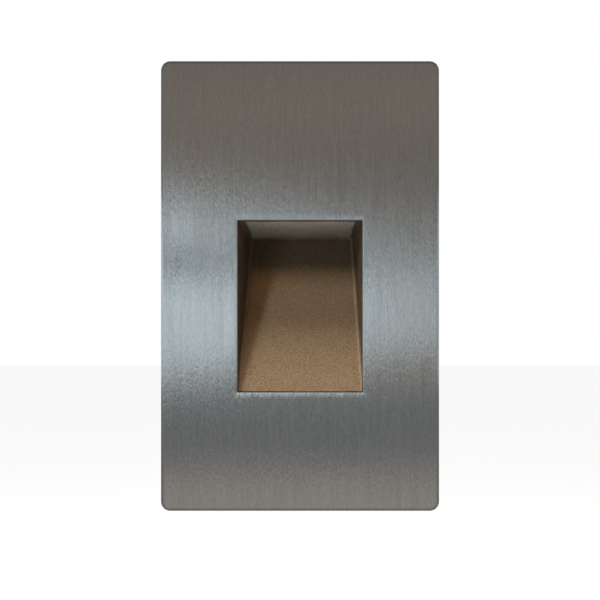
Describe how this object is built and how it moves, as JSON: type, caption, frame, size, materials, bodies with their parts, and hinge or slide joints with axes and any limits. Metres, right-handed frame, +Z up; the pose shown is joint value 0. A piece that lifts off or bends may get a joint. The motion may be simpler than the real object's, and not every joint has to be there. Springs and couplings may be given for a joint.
{
  "type": "step light",
  "caption": "Recessed wall step light: brushed cover plate with a square window over a deep sloping scoop, lit from above through a frosted lens.",
  "frame": {"origin": "midway between the two box screws, on the wall's surface", "axes": "+X to the viewer's right, +Y into the wall, +Z up; the cover plate faces -Y"},
  "size_m": [0.0746, 0.0667, 0.1206],
  "materials": {
    "brushed_plate": "fine vertical brushing, satin",
    "bronze_casting": "textured bronze powder coat",
    "steel": "zinc plated",
    "black_rubber": "matt",
    "black_foam": "closed-cell foam",
    "red_fibre": "pressed fibre",
    "frosted_lens": "frosted",
    "clear_silicone": "translucent silicone",
    "white_plastic": "moulded",
    "bare_aluminium": "mill finish",
    "grey_pad": "soft pad",
    "white_board": "white solder mask",
    "lamp_package": "phosphor",
    "red_wire": "insulated",
    "black_wire": "insulated",
    "green_board": "solder mask",
    "ferrite": "ferrite",
    "yellow_case": "moulded",
    "black_sleeve": "shrunk sleeve",
    "brown_case": "moulded",
    "blue_case": "dipped",
    "black_case": "moulded",
    "black_nylon": "moulded nylon",
    "green_screw": "green plated"
  },
  "bodies": {
    "root": {"housing": "bronze_casting", "stud_grommets": "black_rubber", "wall_gasket": "black_foam", "box_screws": "steel", "screw_retainers": "red_fibre", "lens": "frosted_lens", "lens_seal": "clear_silicone", "reflector": "white_plastic", "led_carrier": "bare_aluminium", "carrier_screws": "steel", "thermal_pad": "grey_pad", "led_board": "white_board", "leds": "lamp_package", "led_board_screws": "steel", "lamp_plug": "white_plastic", "lead_red": "red_wire", "lead_black": "black_wire", "driver_board": "green_board", "driver_screws": "steel", "transformer": "ferrite", "film_capacitor": "yellow_case", "bulk_capacitor": "black_sleeve", "line_choke": "ferrite", "input_fuse": "brown_case", "surge_absorber": "blue_case", "bridge_rectifier": "black_case", "driver_chip": "black_case", "output_plug": "white_plastic", "rear_gasket": "black_rubber", "rear_cover": "bronze_casting", "rear_cover_screws": "steel", "gland_body": "black_nylon", "gland_nut": "black_nylon", "gland_seal": "black_rubber", "gland_cap": "black_nylon", "ground_screw": "green_screw"},
    "cover": {"face_plate": "brushed_plate", "cover_studs": "steel"}
  },
  "joints": [
    {"name": "cover_pull", "type": "slide", "parent": "root", "child": "cover", "axis": [0, -1, 0], "range_m": [0, 0.025]}
  ]
}
